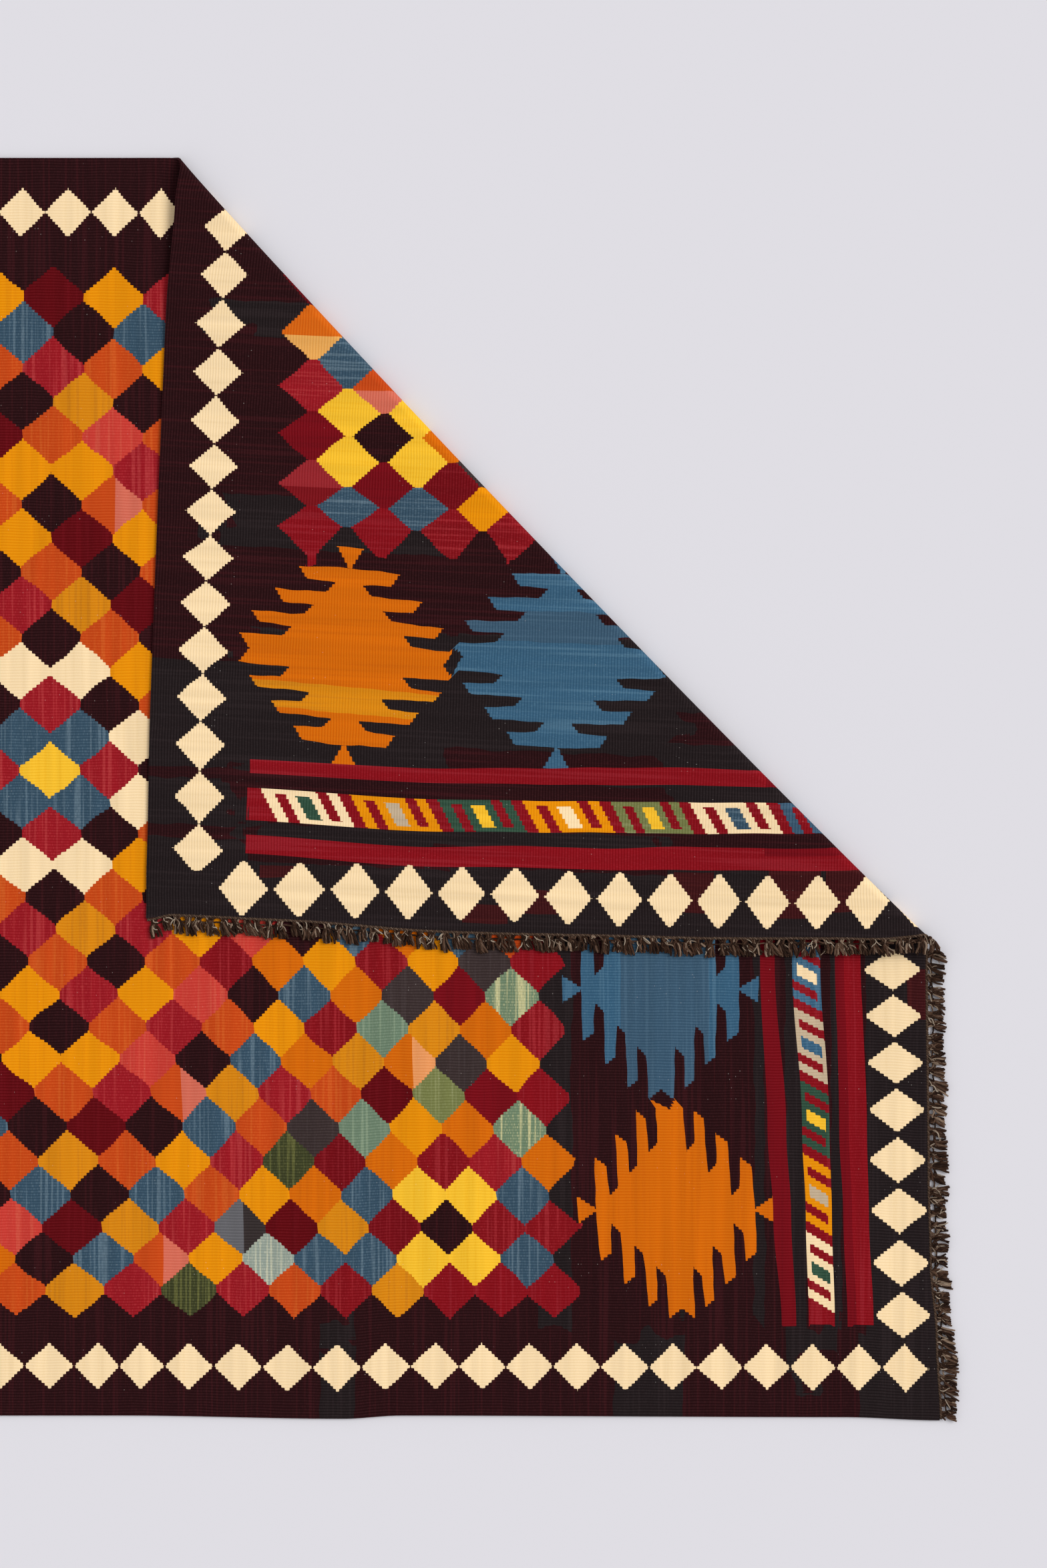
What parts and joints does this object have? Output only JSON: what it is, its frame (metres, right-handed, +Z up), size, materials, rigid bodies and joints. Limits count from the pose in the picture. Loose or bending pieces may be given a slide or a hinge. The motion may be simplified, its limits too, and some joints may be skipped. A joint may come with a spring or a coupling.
{
  "type": "kilim rug with one corner folded over",
  "caption": "Flat-woven wool kilim rug with serrated lozenges and a fringe at each end, lying flat with one corner turned over onto its face.",
  "frame": {"origin": "on the floor, under the middle of the box around the rug as it lies", "axes": "+X along the rug's length, towards the end whose corner is folded over; +Y across it, towards the folded corner; +Z up off the floor"},
  "size_m": [2.227, 1.5518, 0.018],
  "materials": {
    "tapestry_wool": "weft-faced slit tapestry in dyed wool, matt, with fine ribs along the warps",
    "warp_wool": "twined and twisted undyed brown and grey wool, matt"
  },
  "bodies": {
    "root": {"kilim_cloth": "tapestry_wool", "fringe_left": "warp_wool", "fringe_right": "warp_wool", "fringe_flap": "warp_wool"}
  },
  "joints": []
}
